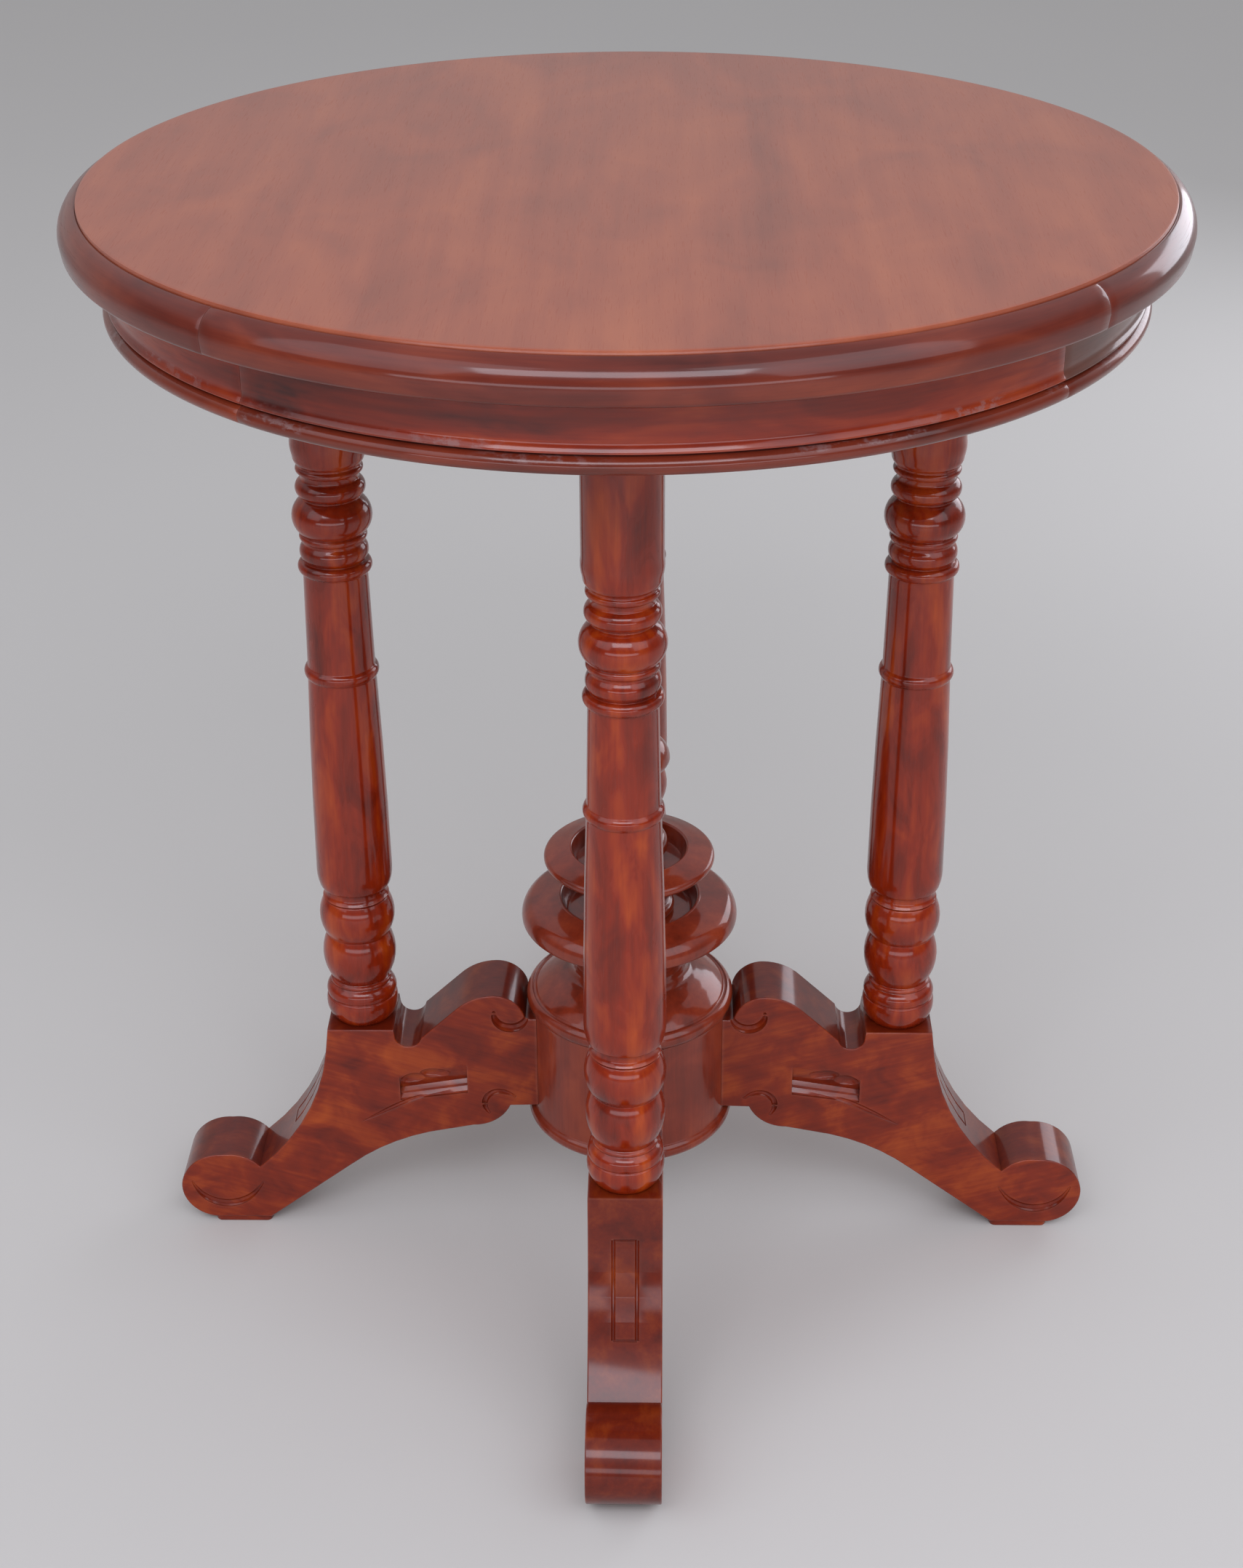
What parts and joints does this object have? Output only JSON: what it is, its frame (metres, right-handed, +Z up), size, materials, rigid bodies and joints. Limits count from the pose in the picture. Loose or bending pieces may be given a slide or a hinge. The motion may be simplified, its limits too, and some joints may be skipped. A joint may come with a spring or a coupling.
{
  "type": "wine table",
  "caption": "Round occasional table: moulded polished top over an apron, turned columns on scroll legs, and a turned centre drum with a finial.",
  "frame": {"origin": "middle of the floor under the table, on the table's axis", "axes": "+Z up along the table's axis; legs along -Y (front), +X, +Y and -X"},
  "size_m": [0.6, 0.6, 0.688],
  "materials": {
    "top_mahogany": "French-polished mahogany, faded orange-brown, satin",
    "edge_mahogany": "French-polished mahogany mouldings, red-brown, glossy",
    "column_mahogany": "French-polished turned mahogany, deep red, glossy",
    "leg_mahogany": "French-polished sawn mahogany, orange-red, glossy",
    "centre_mahogany": "French-polished turned mahogany, red-brown, glossy",
    "plain_beech": "unpolished secondary timber",
    "screw_steel": "dull steel wood screws"
  },
  "bodies": {
    "root": {"apron_back": "edge_mahogany", "apron_front": "edge_mahogany", "apron_left": "edge_mahogany", "apron_right": "edge_mahogany", "bead_back": "edge_mahogany", "bead_front": "edge_mahogany", "bead_left": "edge_mahogany", "bead_right": "edge_mahogany", "bearer_cross": "plain_beech", "bearer_fore_aft": "plain_beech", "bearer_screws": "screw_steel", "centre_pin": "plain_beech", "column_back": "column_mahogany", "column_front": "column_mahogany", "column_left": "column_mahogany", "column_right": "column_mahogany", "drum": "centre_mahogany", "drum_cap": "centre_mahogany", "finial": "centre_mahogany", "foot_pad_back": "leg_mahogany", "foot_pad_front": "leg_mahogany", "foot_pad_left": "leg_mahogany", "foot_pad_right": "leg_mahogany", "glue_blocks": "plain_beech", "leg_back": "leg_mahogany", "leg_dowels": "plain_beech", "leg_front": "leg_mahogany", "leg_left": "leg_mahogany", "leg_right": "leg_mahogany", "lower_collar": "centre_mahogany", "rim_back": "edge_mahogany", "rim_front": "edge_mahogany", "rim_left": "edge_mahogany", "rim_right": "edge_mahogany", "top_board": "top_mahogany", "upper_collar": "centre_mahogany"}
  },
  "joints": []
}
